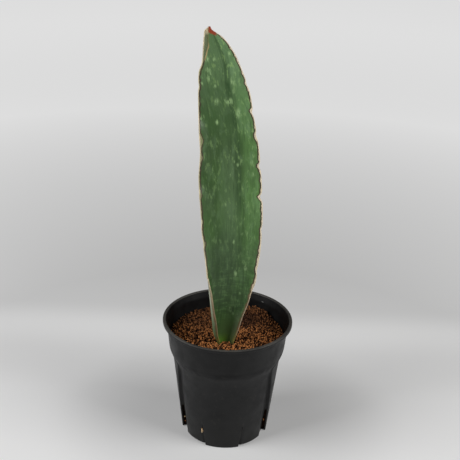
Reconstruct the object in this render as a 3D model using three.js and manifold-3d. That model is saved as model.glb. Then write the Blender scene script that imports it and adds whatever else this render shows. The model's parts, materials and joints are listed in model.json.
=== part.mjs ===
// A single broad snake plant leaf standing in a black plastic nursery pot filled with clay granules.
// Millimetres, +Z up. The pot stands on z = 0 with its axis on the Z axis, and the leaf's broad
// channelled face looks along -Y.

import * as THREE from 'three';
import { mergeVertices } from 'three/addons/utils/BufferGeometryUtils.js';
import Module from 'manifold-3d';

const wasm = await Module();
wasm.setup();

// Pot
const POT_HEIGHT = 126;
const LIP_RADIUS = 65;
const LIP_HEIGHT = 3;
const LIP_TOP_WIDTH = 3.3;
const LIP_EDGE_ROUND = 0.7;
const WALL = 1.2;
const COLLAR_TOP_RADIUS = 61;
const COLLAR_FOOT_RADIUS = 58;
const COLLAR_FOOT_HEIGHT = 94.5;
const SHOULDER_FOOT_HEIGHT = 86;
const SHOULDER_BELOW = { down: 2, inwards: 0.5 };
const SHOULDER_ABOVE = { up: 1, outwards: 0.25 };
const BASE_RADIUS = 43.9;
const BODY_FLARE = 0.119;
const BASE_ROUND = 1;

// How far the middle of a quarter round lies from each of its two sides, as a share of its radius
const ROUND_MIDDLE = 1 - Math.SQRT1_2;

// Two legs, left and right, run up to the collar and narrow downwards. Two feet, front and back,
// swell out of the foot of the wall. The wall between them lies a little deeper than the legs.
const QUARTER = 90;
const LEGS_TURN = -2.6;
const LEG_LOW_HALF_ANGLE = 11.5;
const LEG_HIGH_HALF_ANGLE = 29;
const LEG_TOP = 84;
const FOOT_LOW_HALF_ANGLE = 22.5;
const FOOT_HIGH_HALF_ANGLE = 27.5;
const FOOT_TOP = 28;
const STEP_ANGLE = 0.8;
const WALL_SINK = 2.1;
const WALL_LIFT = 0.3;
const SINK_FADE_FROM = 76;
const SINK_FADE_TO = 90;
const WALL_HEIGHTS = [14, FOOT_TOP, 50, SINK_FADE_FROM, LEG_TOP - 1, SHOULDER_FOOT_HEIGHT];
const SPANS_PER_HALF_FOOT = 3;
const SPANS_PER_WALL = 4;
const SPANS_PER_HALF_LEG = 2;

// A channel runs down each side of a leg, and a short groove down each side of a foot. The
// channel's depths are under the leg's face, as [height, depth].
const CHANNEL_LOW_HALF_ANGLE = 29;
const CHANNEL_HIGH_HALF_ANGLE = 36;
const CHANNEL_DEPTH = [[0, 4.3], [14, 4.2], [28, 3.4], [50, 2.7], [84, WALL_SINK]];
const CHANNEL_FLOOR_SHARE = 0.55;
const GROOVE_DEPTH = 1.5;
const GROOVE_ANGLE = 4.5;

const FLOOR_LIFT = 3;
const FLOOR_RADIUS = 29;
const RING_INNER_RADIUS = 31.5;

// Drain slits, open at the base: a wide one in each side of a leg, a narrow one beside each foot.
// Each gives how far it reaches past the edge it follows, at its low and its high end, in degrees.
const LEG_SLIT = { top: 29.5, into: [2, 1.6], beyond: [2.4, 1.6] };
const FOOT_SLIT = { top: 24, into: [0.2, 0.1], beyond: [1.5, 1] };
const SLIT_FROM = -1;
const SLIT_SPANS = 7;
const CUT_MARGIN = 0.4;

// Clay granules
const CLEARANCE = 0.3;
const SOIL_LEVEL = 108.6;
const GRAIN_PITCH = 5;
const GRAIN_JITTER = 1.7;
const GRAIN_HEIGHT = 2.2;
const LOWEST_PEAK = 0.35;
const SHALLOW_VALLEY = 0.5;
const DEEP_VALLEY = 0.8;
const GRAIN_FIELD_HALF = 62;
const GRAIN_SEED = 7;
const MOUNDS = [
  { x: 36, y: 46, reach: 20, rise: 5 },
  { x: -46, y: 26, reach: 26, rise: -3 },
  { x: 54, y: 18, reach: 18, rise: -3 },
  { x: 36, y: -30, reach: 5, rise: -2.5 },
  { x: -20, y: -40, reach: 16, rise: 1 },
  { x: 0, y: -26, reach: 12, rise: 1.2 },
];

// Leaf. Each curve is a few [height, value] points, and a smooth line runs through them.
const LEAF_FOOT = 74;
const LEAF_SOIL_LINE = 109;
const LEAF_TIP = 424;
const LEFT_EDGE = [
  [74, -5], [84, -7], [109, -9.1], [121, -13.0], [139, -15.2], [169, -18.6], [201, -23.2],
  [232, -27.4], [263, -29.5], [284, -31.2], [304, -30.2], [322, -30.7], [343, -32.4],
  [383, -33.0], [391, -30.5], [405, -29.3], [418, -28.8], [421, -28.2], [424, -24.6],
];
const RIGHT_EDGE = [
  [74, 3], [84, 4.4], [109, 6.4], [121, 9.7], [139, 14.6], [152, 18.9], [168, 22.7],
  [177, 26.0], [195, 27.6], [215, 29.4], [245, 30.1], [284, 27.5], [314, 24.0], [342, 18.6],
  [367, 13.4], [394, 2.8], [405, -3.7], [415.5, -12.5], [421, -21.6], [424, -23.3],
];
const MIDRIB = [
  [74, -1], [109, -0.6], [150, 2.6], [200, 4.2], [260, 3.4], [315, 0.2], [340, -3.4],
  [366, -8.8], [394, -12.6], [424, -24.2],
];
const LEAN = [[74, -17.5], [109, -16], [200, -13.5], [300, -10], [424, -7]];
const MIDRIB_THICKNESS = [
  [74, 3.4], [82, 4.4], [109, 4.8], [200, 4.4], [320, 3.6], [400, 2.6], [424, 1.4],
];
const MARGIN_THICKNESS = 1.3;

// How far each half of the blade turns towards the front between midrib and margin, in degrees
const LEFT_CURL = [[74, 72], [109, 72], [150, 60], [180, 46], [225, 34], [280, 27], [424, 20]];
const RIGHT_CURL = [[74, 70], [109, 68], [150, 46], [180, 35], [225, 29], [280, 25], [424, 18]];

// Stretches where a margin rolls over to the front, in degrees at its outer third
const LEFT_ROLLS = [
  { height: 126, reach: 36, turn: 96 },
  { height: 172, reach: 20, turn: 54 },
  { height: 266, reach: 8, turn: 26 },
  { height: 300, reach: 7, turn: 20 },
  { height: 326, reach: 12, turn: 44 },
  { height: 408, reach: 12, turn: 48 },
];
const RIGHT_ROLLS = [
  { height: 176, reach: 9, turn: -30 },
  { height: 296, reach: 7, turn: -22 },
];
const ROLL_START = 0.6;

// Scallops bitten into the margins
const LEFT_NOTCHES = [
  { height: 219, reach: 4, depth: 0.6 },
  { height: 240, reach: 4, depth: 0.5 },
  { height: 371, reach: 3, depth: 0.7 },
];
const RIGHT_NOTCHES = [
  { height: 190, reach: 4, depth: 0.6 },
  { height: 232, reach: 4, depth: 0.8 },
  { height: 266, reach: 3.2, depth: 2.2 },
  { height: 296, reach: 4, depth: 1.5 },
  { height: 325, reach: 4, depth: 1.2 },
  { height: 347.5, reach: 3, depth: 1.2 },
  { height: 373, reach: 3.5, depth: 0.9 },
];

// Slow waves of the margins, out of the blade
const LEFT_WAVE = { length: 52, size: 1.3, start: 0.8 };
const RIGHT_WAVE = { length: 44, size: 1.5, start: 2.6 };
const WAVE_RISE = 60;
const WAVE_FADE = 30;

const RING_STEP = 3.6;
const TIP_RING_STEP = 2;
const TIP_RINGS_FROM = 404;
const STEPS_PER_HALF = 5;
const FINE_STEPS = 8;

const { clamp, degToRad, lerp } = THREE.MathUtils;

// Smooth value at a height, on a curve through [height, value] points
function along(points, height) {
  const last = points.length - 1;
  if (height <= points[0][0]) {
    return points[0][1];
  }
  if (height >= points[last][0]) {
    return points[last][1];
  }
  let k = 0;
  while (height > points[k + 1][0]) {
    k += 1;
  }
  const slope = (i) => {
    const before = points[Math.max(i - 1, 0)];
    const after = points[Math.min(i + 1, last)];
    return (after[1] - before[1]) / (after[0] - before[0]);
  };
  const span = points[k + 1][0] - points[k][0];
  const t = (height - points[k][0]) / span;
  const start = points[k][1] * (2 * t ** 3 - 3 * t ** 2 + 1);
  const leaving = slope(k) * span * (t ** 3 - 2 * t ** 2 + t);
  const end = points[k + 1][1] * (3 * t ** 2 - 2 * t ** 3);
  const arriving = slope(k + 1) * span * (t ** 3 - t ** 2);
  return start + leaving + end + arriving;
}

const smoothStep = (low, high, value) => THREE.MathUtils.smoothstep(value, low, high);

// Evenly spaced shares from 0 to 1
const shares = (spans) => Array.from({ length: spans + 1 }, (_, k) => k / spans);

// A round bump that is 1 at its middle and gone past twice its reach
const bump = (distance, reach) => Math.exp(-((distance / reach) ** 2));

function solidFrom(positions, triangles) {
  const mesh = new wasm.Mesh({
    numProp: 3,
    vertProperties: new Float32Array(positions.flat()),
    triVerts: new Uint32Array(triangles.flat()),
  });
  return new wasm.Manifold(mesh);
}

function solidFromGeometry(geometry) {
  geometry.deleteAttribute('normal');
  geometry.deleteAttribute('uv');
  const merged = mergeVertices(geometry);
  const mesh = new wasm.Mesh({
    numProp: 3,
    vertProperties: new Float32Array(merged.getAttribute('position').array),
    triVerts: new Uint32Array(merged.getIndex().array),
  });
  return new wasm.Manifold(mesh);
}

function geometryFrom(solid) {
  const mesh = solid.getMesh();
  const geometry = new THREE.BufferGeometry();
  geometry.setAttribute('position', new THREE.BufferAttribute(mesh.vertProperties, 3));
  geometry.setIndex(new THREE.BufferAttribute(mesh.triVerts, 1));
  geometry.computeVertexNormals();
  return geometry;
}

// Half the width of a leg, a foot and the channels round a leg at a height, as angles round the pot
const widening = (low, high, top) => (z) => lerp(low, high, clamp(z / top, 0, 1));
const legHalfAngle = widening(LEG_LOW_HALF_ANGLE, LEG_HIGH_HALF_ANGLE, LEG_TOP);
const footHalfAngle = widening(FOOT_LOW_HALF_ANGLE, FOOT_HIGH_HALF_ANGLE, FOOT_TOP);
const channelHalfAngle = widening(CHANNEL_LOW_HALF_ANGLE, CHANNEL_HIGH_HALF_ANGLE, LEG_TOP);

// The upright lines that the pot's wall is made of, round a quarter, from the middle of a foot to
// the middle of a leg. Each has its form, its angle at a height, and the way it moves on the inner
// face to keep the steps as thick as the wall: 1 is towards the leg and -1 towards the foot.
function quarterLines() {
  const footLines = shares(SPANS_PER_HALF_FOOT).map((part) => ({
    form: 'foot',
    lean: part === 1 ? -1 : 0,
    angleAt: (z) => part * footHalfAngle(z),
  }));
  const groove = { form: 'groove', lean: -1, angleAt: (z) => footHalfAngle(z) + STEP_ANGLE };
  const wallLines = shares(SPANS_PER_WALL).map((part) => ({
    form: 'wall',
    lean: 0,
    angleAt: (z) => lerp(footHalfAngle(z) + GROOVE_ANGLE, QUARTER - channelHalfAngle(z), part),
  }));
  const channelFoot = (z) => QUARTER - legHalfAngle(z) - STEP_ANGLE;
  const channelStart = {
    form: 'channel',
    lean: 0,
    angleAt: (z) => lerp(QUARTER - channelHalfAngle(z), channelFoot(z), CHANNEL_FLOOR_SHARE),
  };
  const channelEnd = { form: 'channel', lean: 1, angleAt: channelFoot };
  const legLines = shares(SPANS_PER_HALF_LEG).map((part) => ({
    form: 'leg',
    lean: part === 0 ? 1 : 0,
    angleAt: (z) => QUARTER - (1 - part) * legHalfAngle(z),
  }));
  return [...footLines, groove, ...wallLines, channelStart, channelEnd, ...legLines];
}

// All upright lines round the pot. Above the legs they spread out evenly.
function potLines() {
  const quarter = quarterLines();
  const mirrored = quarter.slice(1, -1).reverse().map((line) => ({
    form: line.form,
    lean: -line.lean,
    angleAt: (z) => 2 * QUARTER - line.angleAt(z),
  }));
  const half = [...quarter, ...mirrored];
  const spreadAt = (z) => smoothStep(LEG_TOP, COLLAR_FOOT_HEIGHT, z);
  return [0, 1].flatMap((turn) => half.map((line, k) => {
    const even = (k / half.length) * 2 * QUARTER;
    return {
      form: line.form,
      leanAt: (z) => line.lean * (1 - spreadAt(z)),
      angleAt: (z) => turn * 2 * QUARTER + lerp(line.angleAt(z), even, spreadAt(z)),
    };
  }));
}

const bodyRadius = (z) => BASE_RADIUS + BODY_FLARE * z;

// How far a form of the wall lies under the legs' faces at a height
function sinkOf(form, z) {
  const overFoot = clamp(z / FOOT_TOP, 0, 1);
  const sinks = {
    leg: 0,
    foot: WALL_SINK * overFoot,
    groove: WALL_SINK + GROOVE_DEPTH * (1 - overFoot),
    wall: WALL_SINK,
    channel: along(CHANNEL_DEPTH, z),
  };
  return sinks[form] * (1 - smoothStep(SINK_FADE_FROM, SINK_FADE_TO, z));
}

const formRadius = (form, z) => bodyRadius(z) - sinkOf(form, z);

// Outer line of the pot from the middle of its floor up to the lip, moved inwards by an inset,
// as [radius, height, inset]
function potProfile(form, inset) {
  const base = form === 'leg' || form === 'foot' ? 0 : WALL_LIFT;
  const foot = formRadius(form, base);
  const round = BASE_ROUND - inset / 2;
  const midRound = ROUND_MIDDLE * round;
  const shoulderLow = COLLAR_FOOT_RADIUS - SHOULDER_BELOW.inwards;
  const shoulderHigh = COLLAR_FOOT_RADIUS + SHOULDER_ABOVE.outwards;
  const points = [
    [0, FLOOR_LIFT + inset],
    [FLOOR_RADIUS, FLOOR_LIFT + inset],
    [RING_INNER_RADIUS, base + inset],
    [foot - round - inset, base + inset],
    [foot - midRound - inset, base + midRound + inset],
    [formRadius(form, base + BASE_ROUND) - inset, base + round + inset],
    ...WALL_HEIGHTS.map((z) => [formRadius(form, z) - inset, z]),
    [shoulderLow - inset, COLLAR_FOOT_HEIGHT - SHOULDER_BELOW.down],
    [shoulderHigh - inset, COLLAR_FOOT_HEIGHT + SHOULDER_ABOVE.up],
    [COLLAR_TOP_RADIUS - inset, POT_HEIGHT - LIP_HEIGHT],
  ];
  return points.map(([radius, z]) => [radius, z, inset]);
}

// The lip, from under its outer edge over the top to its inner edge
function lipProfile() {
  const under = POT_HEIGHT - LIP_HEIGHT;
  const inner = LIP_RADIUS - LIP_TOP_WIDTH;
  return [
    [LIP_RADIUS - LIP_EDGE_ROUND, under],
    [LIP_RADIUS, under + LIP_EDGE_ROUND],
    [LIP_RADIUS, POT_HEIGHT - LIP_EDGE_ROUND],
    [LIP_RADIUS - LIP_EDGE_ROUND, POT_HEIGHT],
    [inner + LIP_EDGE_ROUND, POT_HEIGHT],
    [inner, POT_HEIGHT - LIP_EDGE_ROUND],
  ];
}

// A closed solid from one line per upright. Each line starts and ends on the pot's axis.
// Rising and falling stretches are split along the same diagonals, so a wall is evenly thick.
function turned(lineAt) {
  const uprights = potLines();
  const lines = uprights.map((upright) => lineAt(upright.form));
  const rows = lines[0].length;
  const positions = [];
  const triangles = [];
  for (let row = 1; row < rows - 1; row += 1) {
    uprights.forEach((upright, k) => {
      const [radius, z, inset = 0] = lines[k][row];
      const lean = (upright.leanAt(z) * inset) / radius;
      const turn = degToRad(upright.angleAt(z) + LEGS_TURN) + lean;
      positions.push([radius * Math.sin(turn), -radius * Math.cos(turn), z]);
    });
  }
  const first = positions.push([0, 0, lines[0][0][1]]) - 1;
  const last = positions.push([0, 0, lines[0][rows - 1][1]]) - 1;
  const count = uprights.length;
  for (let k = 0; k < count; k += 1) {
    const next = (k + 1) % count;
    triangles.push([first, next, k]);
    for (let row = 0; row < rows - 3; row += 1) {
      const a = row * count + k;
      const b = row * count + next;
      const rising = lines[k][row + 2][1] >= lines[k][row + 1][1];
      if (rising) {
        triangles.push([a, b, b + count]);
        triangles.push([a, b + count, a + count]);
      } else {
        triangles.push([a, b, a + count]);
        triangles.push([b, b + count, a + count]);
      }
    }
    const top = (rows - 3) * count;
    triangles.push([last, top + k, top + next]);
  }
  return solidFrom(positions, triangles);
}

// A drain slit's block, beside the middle of a leg or foot on one side, -1 or 1. It follows the
// edge given by a half angle, between an inner and an outer radius.
function slitCutter(slit, middle, side, halfAngle, innerAt, outerAt) {
  const block = new THREE.BoxGeometry(1, 1, 1, 1, 1, SLIT_SPANS);
  const position = block.getAttribute('position');
  for (let i = 0; i < position.count; i += 1) {
    const up = position.getZ(i) + 0.5;
    const across = side * position.getX(i) + 0.5;
    const inwards = position.getY(i) + 0.5;
    const z = lerp(SLIT_FROM, slit.top, up);
    const into = halfAngle(z) - lerp(slit.into[0], slit.into[1], up);
    const beyond = halfAngle(z) + lerp(slit.beyond[0], slit.beyond[1], up);
    const turn = degToRad(middle + side * lerp(into, beyond, across) + LEGS_TURN);
    const radius = lerp(outerAt(z), innerAt(z), inwards);
    position.setXYZ(i, radius * Math.sin(turn), -radius * Math.cos(turn), z);
  }
  return solidFromGeometry(block);
}

function potSolid() {
  let pot = turned((form) => {
    const outside = potProfile(form, 0);
    const inside = potProfile(form, WALL).slice(0, -1).reverse();
    return [...outside, ...lipProfile(), ...inside];
  });
  const innerFace = (form) => (z) => formRadius(form, z) - WALL - CUT_MARGIN;
  const underLegSkin = (z) => formRadius('leg', z) - WALL;
  const outside = (z) => bodyRadius(z) + CUT_MARGIN;
  [0, 2 * QUARTER].forEach((turn) => {
    [-1, 1].forEach((side) => {
      const leg = turn + QUARTER;
      pot = pot.subtract(
        slitCutter(LEG_SLIT, leg, side, legHalfAngle, innerFace('channel'), underLegSkin),
      );
      pot = pot.subtract(
        slitCutter(FOOT_SLIT, turn, side, footHalfAngle, innerFace('groove'), outside),
      );
    });
  });
  return pot;
}

// Height of the granules' surface, before the single grains
function soilHeight(x, y) {
  let height = SOIL_LEVEL;
  MOUNDS.forEach((mound) => {
    height += mound.rise * bump(Math.hypot(x - mound.x, y - mound.y), mound.reach);
  });
  return height;
}

// Repeatable random numbers from 0 to 1
function randomFrom(seed) {
  const factor = 16807;
  const range = 2147483647;
  let state = seed;
  return () => {
    state = (state * factor) % range;
    return state / range;
  };
}

// A slab whose top is covered in grains: each is a peak, with valleys between it and its neighbours
function grainSlab() {
  const random = randomFrom(GRAIN_SEED);
  const rowPitch = GRAIN_PITCH * Math.sin(Math.PI / 3);
  const rows = 2 * Math.ceil(GRAIN_FIELD_HALF / rowPitch) + 1;
  const columns = 2 * Math.ceil(GRAIN_FIELD_HALF / GRAIN_PITCH) + 1;
  const positions = [];
  const triangles = [];
  for (let row = 0; row < rows; row += 1) {
    const shift = row % 2 === 0 ? -GRAIN_PITCH / 4 : GRAIN_PITCH / 4;
    for (let column = 0; column < columns; column += 1) {
      const jitterX = GRAIN_JITTER * (random() - 0.5);
      const jitterY = GRAIN_JITTER * (random() - 0.5);
      const x = (column - (columns - 1) / 2) * GRAIN_PITCH + shift + jitterX;
      const y = (row - (rows - 1) / 2) * rowPitch + jitterY;
      const peak = GRAIN_HEIGHT * lerp(LOWEST_PEAK, 1, random());
      positions.push([x, y, soilHeight(x, y) + peak - GRAIN_HEIGHT / 2]);
    }
  }
  const valleys = new Map();
  const edgeKey = (a, b) => `${Math.min(a, b)} ${Math.max(a, b)}`;
  const addCell = (a, b, c) => {
    const corners = [a, b, c].map((i) => positions[i]);
    const x = (corners[0][0] + corners[1][0] + corners[2][0]) / 3;
    const y = (corners[0][1] + corners[1][1] + corners[2][1]) / 3;
    const z = soilHeight(x, y) - GRAIN_HEIGHT * lerp(SHALLOW_VALLEY, DEEP_VALLEY, random());
    const valley = positions.push([x, y, z]) - 1;
    [[a, b], [b, c], [c, a]].forEach(([from, to]) => {
      const key = edgeKey(from, to);
      const sides = valleys.get(key) ?? [];
      sides.push({ from, to, valley });
      valleys.set(key, sides);
    });
  };
  const at = (row, column) => row * columns + column;
  for (let row = 0; row < rows - 1; row += 1) {
    for (let column = 0; column < columns - 1; column += 1) {
      const low = at(row, column);
      const high = at(row + 1, column);
      if (row % 2 === 0) {
        addCell(low, low + 1, high);
        addCell(low + 1, high + 1, high);
      } else {
        addCell(low, low + 1, high + 1);
        addCell(low, high + 1, high);
      }
    }
  }
  const border = new Map();
  valleys.forEach((sides) => {
    const [side, other] = sides;
    if (other) {
      triangles.push([side.from, other.valley, side.valley]);
      triangles.push([side.to, side.valley, other.valley]);
    } else {
      triangles.push([side.from, side.to, side.valley]);
      border.set(side.from, side.to);
    }
  });
  closeUnder(positions, triangles, border);
  return solidFrom(positions, triangles);
}

// Walls and a flat bottom under an open surface, from its border, which maps each point to the next
function closeUnder(positions, triangles, border) {
  const foot = new Map();
  border.forEach((to, from) => {
    const [x, y] = positions[from];
    foot.set(from, positions.push([x, y, 0]) - 1);
  });
  const middle = positions.push([0, 0, 0]) - 1;
  border.forEach((to, from) => {
    triangles.push([foot.get(from), foot.get(to), to]);
    triangles.push([foot.get(from), to, from]);
    triangles.push([middle, foot.get(to), foot.get(from)]);
  });
}

function soilSolid() {
  const cavity = turned((form) => [
    ...potProfile(form, WALL + CLEARANCE),
    [0, POT_HEIGHT - LIP_HEIGHT],
  ]);
  return cavity.intersect(grainSlab()).subtract(leafSolid(CLEARANCE));
}

// Half of the blade's middle line, of unit width, from the midrib to the margin.
// It turns to the front evenly by the curl, and by the roll over its outer part.
function halfLine(curl, roll) {
  const count = STEPS_PER_HALF * FINE_STEPS;
  const headingAt = (share) => {
    const outer = Math.max(0, (share - ROLL_START) / (1 - ROLL_START));
    return degToRad(curl * share + roll * outer);
  };
  const points = [{ share: 0, out: 0, front: 0, heading: 0 }];
  let widest = points[0];
  let out = 0;
  let front = 0;
  for (let i = 1; i <= count; i += 1) {
    const heading = headingAt((i - 0.5) / count);
    out += Math.cos(heading) / count;
    front += Math.sin(heading) / count;
    const point = { share: i / count, out, front, heading: headingAt(i / count) };
    if (out > widest.out) {
      widest = point;
    }
    if (i % FINE_STEPS === 0) {
      points.push(point);
    }
  }
  return { points, widest };
}

function sumOfBumps(list, height, size) {
  return list.reduce((sum, one) => sum + one[size] * bump(height - one.height, one.reach), 0);
}

function waveAt(wave, height) {
  const rising = smoothStep(LEAF_SOIL_LINE, LEAF_SOIL_LINE + WAVE_RISE, height);
  const fading = 1 - smoothStep(LEAF_TIP - WAVE_FADE, LEAF_TIP, height);
  const turn = (2 * Math.PI * height) / wave.length + wave.start;
  return wave.size * rising * fading * Math.sin(turn);
}

// Front and back points of one half of the blade at a height, from the midrib to the margin
function halfSection(height, side, grow) {
  const left = side < 0;
  const notches = sumOfBumps(left ? LEFT_NOTCHES : RIGHT_NOTCHES, height, 'depth');
  const rolls = sumOfBumps(left ? LEFT_ROLLS : RIGHT_ROLLS, height, 'turn');
  const edge = along(left ? LEFT_EDGE : RIGHT_EDGE, height);
  const midrib = along(MIDRIB, height);
  const curl = along(left ? LEFT_CURL : RIGHT_CURL, height);
  const thick = along(MIDRIB_THICKNESS, height);
  const halfThickness = (share) => {
    const full = MARGIN_THICKNESS + (thick - MARGIN_THICKNESS) * (1 - share ** 2);
    return full / 2;
  };
  const { points, widest } = halfLine(curl, rolls);
  const reach = (edge - midrib) * side - notches;
  const flank = halfThickness(widest.share) * Math.sin(widest.heading);
  const width = (reach - flank) / widest.out;
  const wave = waveAt(left ? LEFT_WAVE : RIGHT_WAVE, height);
  const lean = along(LEAN, height);
  return points.map((point) => {
    const atMargin = point.share === 1;
    const beyond = atMargin ? grow : 0;
    const outwards = point.out * width + beyond * Math.cos(point.heading);
    const forwards = point.front * width + beyond * Math.sin(point.heading);
    const x = midrib + side * outwards;
    const y = lean - forwards - wave * point.share ** 2;
    const half = halfThickness(point.share) + grow;
    const acrossX = side * Math.sin(point.heading) * half;
    const acrossY = Math.cos(point.heading) * half;
    return {
      front: [x - acrossX, y - acrossY, height],
      back: [x + acrossX, y + acrossY, height],
    };
  });
}

function leafHeights() {
  const heights = [];
  for (let z = LEAF_FOOT; z < TIP_RINGS_FROM; z += RING_STEP) {
    heights.push(z);
  }
  for (let z = TIP_RINGS_FROM; z <= LEAF_TIP; z += TIP_RING_STEP) {
    heights.push(z);
  }
  return heights;
}

// The leaf, or with a growth its hole in the granules
function leafSolid(grow) {
  const hole = grow > 0;
  const above = hole ? POT_HEIGHT : LEAF_TIP;
  const heights = leafHeights().filter((height) => height <= above);
  const positions = [];
  const triangles = [];
  heights.forEach((height, ring) => {
    const left = halfSection(height, -1, grow).slice(1).reverse();
    const across = [...left, ...halfSection(height, 1, grow)];
    const sink = hole && ring === 0 ? grow : 0;
    ['front', 'back'].forEach((face) => {
      across.forEach((point) => positions.push([point[face][0], point[face][1], height - sink]));
    });
  });
  const across = 2 * STEPS_PER_HALF + 1;
  const perRing = 2 * across;
  for (let ring = 0; ring < heights.length - 1; ring += 1) {
    const f = ring * perRing;
    const b = f + across;
    for (let j = 0; j < across - 1; j += 1) {
      triangles.push([f + j, f + j + 1, f + j + 1 + perRing]);
      triangles.push([f + j, f + j + 1 + perRing, f + j + perRing]);
      triangles.push([b + j, b + j + 1 + perRing, b + j + 1]);
      triangles.push([b + j, b + j + perRing, b + j + 1 + perRing]);
    }
    const r = across - 1;
    triangles.push([b, f, f + perRing]);
    triangles.push([b, f + perRing, b + perRing]);
    triangles.push([f + r, b + r, b + r + perRing]);
    triangles.push([f + r, b + r + perRing, f + r + perRing]);
  }
  const top = (heights.length - 1) * perRing;
  for (let j = 0; j < across - 1; j += 1) {
    triangles.push([j, j + 1 + across, j + 1]);
    triangles.push([j, j + across, j + 1 + across]);
    triangles.push([top + j, top + j + 1, top + j + 1 + across]);
    triangles.push([top + j, top + j + 1 + across, top + j + across]);
  }
  return solidFrom(positions, triangles);
}

function named(name, solid, look) {
  const mesh = new THREE.Mesh(geometryFrom(solid), new THREE.MeshStandardMaterial(look));
  mesh.name = name;
  return mesh;
}

const plant = new THREE.Group();
plant.add(named('pot', potSolid(), { color: 0x2b2c2e, roughness: 0.62, metalness: 0 }));
plant.add(named('substrate', soilSolid(), { color: 0x6b3a22, roughness: 0.95, metalness: 0 }));
plant.add(named('leaf', leafSolid(0), { color: 0x4a6b42, roughness: 0.45, metalness: 0 }));

export default plant;
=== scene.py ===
"""The looks of one broad snake plant leaf in a black nursery pot filled with clay granules.

Metres, +Z up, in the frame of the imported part. Sizes are written in millimetres, times MM.
"""
import json
import math
import random

import bmesh
import bpy
import numpy as np
from mathutils import Matrix, Vector

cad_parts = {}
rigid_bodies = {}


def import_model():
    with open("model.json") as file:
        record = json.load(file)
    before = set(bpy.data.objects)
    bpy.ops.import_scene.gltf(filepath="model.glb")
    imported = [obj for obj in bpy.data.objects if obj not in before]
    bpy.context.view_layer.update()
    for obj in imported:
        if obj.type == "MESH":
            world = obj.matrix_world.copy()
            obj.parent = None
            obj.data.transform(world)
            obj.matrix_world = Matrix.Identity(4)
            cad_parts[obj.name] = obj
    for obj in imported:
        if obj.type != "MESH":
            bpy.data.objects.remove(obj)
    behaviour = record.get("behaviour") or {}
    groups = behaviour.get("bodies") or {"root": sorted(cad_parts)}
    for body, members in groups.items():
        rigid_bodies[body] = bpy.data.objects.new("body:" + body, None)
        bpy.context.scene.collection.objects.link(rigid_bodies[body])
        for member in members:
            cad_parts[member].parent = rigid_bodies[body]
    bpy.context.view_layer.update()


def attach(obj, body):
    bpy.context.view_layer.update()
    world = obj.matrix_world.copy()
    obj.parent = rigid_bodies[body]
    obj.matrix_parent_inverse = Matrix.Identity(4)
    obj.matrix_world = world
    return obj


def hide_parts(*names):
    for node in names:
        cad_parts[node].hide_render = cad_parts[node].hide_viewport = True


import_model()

BODY = "root"
MM = 0.001

# Camera, as fitted to the rim and the base of the pot
CAMERA_PLACE = (0.0, -968.0, 665.5)
CAMERA_PITCH = 24.551
CAMERA_YAW = -0.022
CAMERA_ROLL = 1.788
CAMERA_LENS = 86.087
CAMERA_SENSOR = 36.0

# Pot
POT_HEIGHT = 126.0
LIP_RADIUS = 65.0
LIP_HEIGHT = 3.0
LIP_TOP_WIDTH = 3.3
LIP_ROUND = 0.9
WALL = 1.2
COLLAR_TOP_RADIUS = 61.0
COLLAR_FOOT_RADIUS = 58.0
COLLAR_FOOT_HEIGHT = 94.5
SHOULDER_FOOT_HEIGHT = 86.0
SHOULDER_FROM = 76.0
SHOULDER_ROUND = 4.2
BASE_RADIUS = 43.9
BODY_FLARE = 0.119
BASE_ROUND = 1.0
STEP_ROUND = 0.7

QUARTER = 90.0
LEGS_TURN = -2.6
LEG_LOW_HALF_ANGLE = 11.5
LEG_HIGH_HALF_ANGLE = 29.0
LEG_TOP = 84.0
FOOT_LOW_HALF_ANGLE = 22.5
FOOT_HIGH_HALF_ANGLE = 27.5
FOOT_TOP = 28.0
STEP_ANGLE = 0.8
WALL_SINK = 2.1
WALL_LIFT = 0.3
SINK_FADE = (76.0, 90.0)
CHANNEL_LOW_HALF_ANGLE = 29.0
CHANNEL_HIGH_HALF_ANGLE = 36.0
CHANNEL_DEPTH = [(0, 4.3), (14, 4.2), (28, 3.4), (50, 2.7), (84, WALL_SINK)]
CHANNEL_FLOOR_SHARE = 0.55
GROOVE_DEPTH = 1.5
GROOVE_ANGLE = 4.5
FLOOR_LIFT = 3.0
FLOOR_RADIUS = 29.0
RING_INNER_RADIUS = 31.5

LEG_SLIT = {"top": 29.5, "into": (2.0, 1.6), "beyond": (2.4, 1.6)}
FOOT_SLIT = {"top": 24.0, "into": (0.2, 0.1), "beyond": (1.5, 1.0)}
SLIT_FROM = -1.0
SLIT_SPANS = 14
CUT_MARGIN = 0.4

# Clay granules
CLEARANCE = 0.3
SOIL_LEVEL = 108.6
MOUNDS = [
    {"x": 36, "y": 46, "reach": 20, "rise": 5},
    {"x": -46, "y": 26, "reach": 26, "rise": -1.5},
    {"x": 54, "y": 18, "reach": 18, "rise": -3},
    {"x": 36, "y": -27, "reach": 5, "rise": -3.2},
    {"x": -20, "y": -40, "reach": 16, "rise": 1},
    {"x": 0, "y": -26, "reach": 12, "rise": 1.2},
]
BED_BELOW_GRAINS = 1.6
GRAIN_FACES_FROM = 17
GRAIN_SHAPES = 7
GRAIN_SIZE = 0.98
GRAIN_SPACING = 1.6
GRAIN_LIFT = 0.9
GRAIN_SEED = 11

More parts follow.
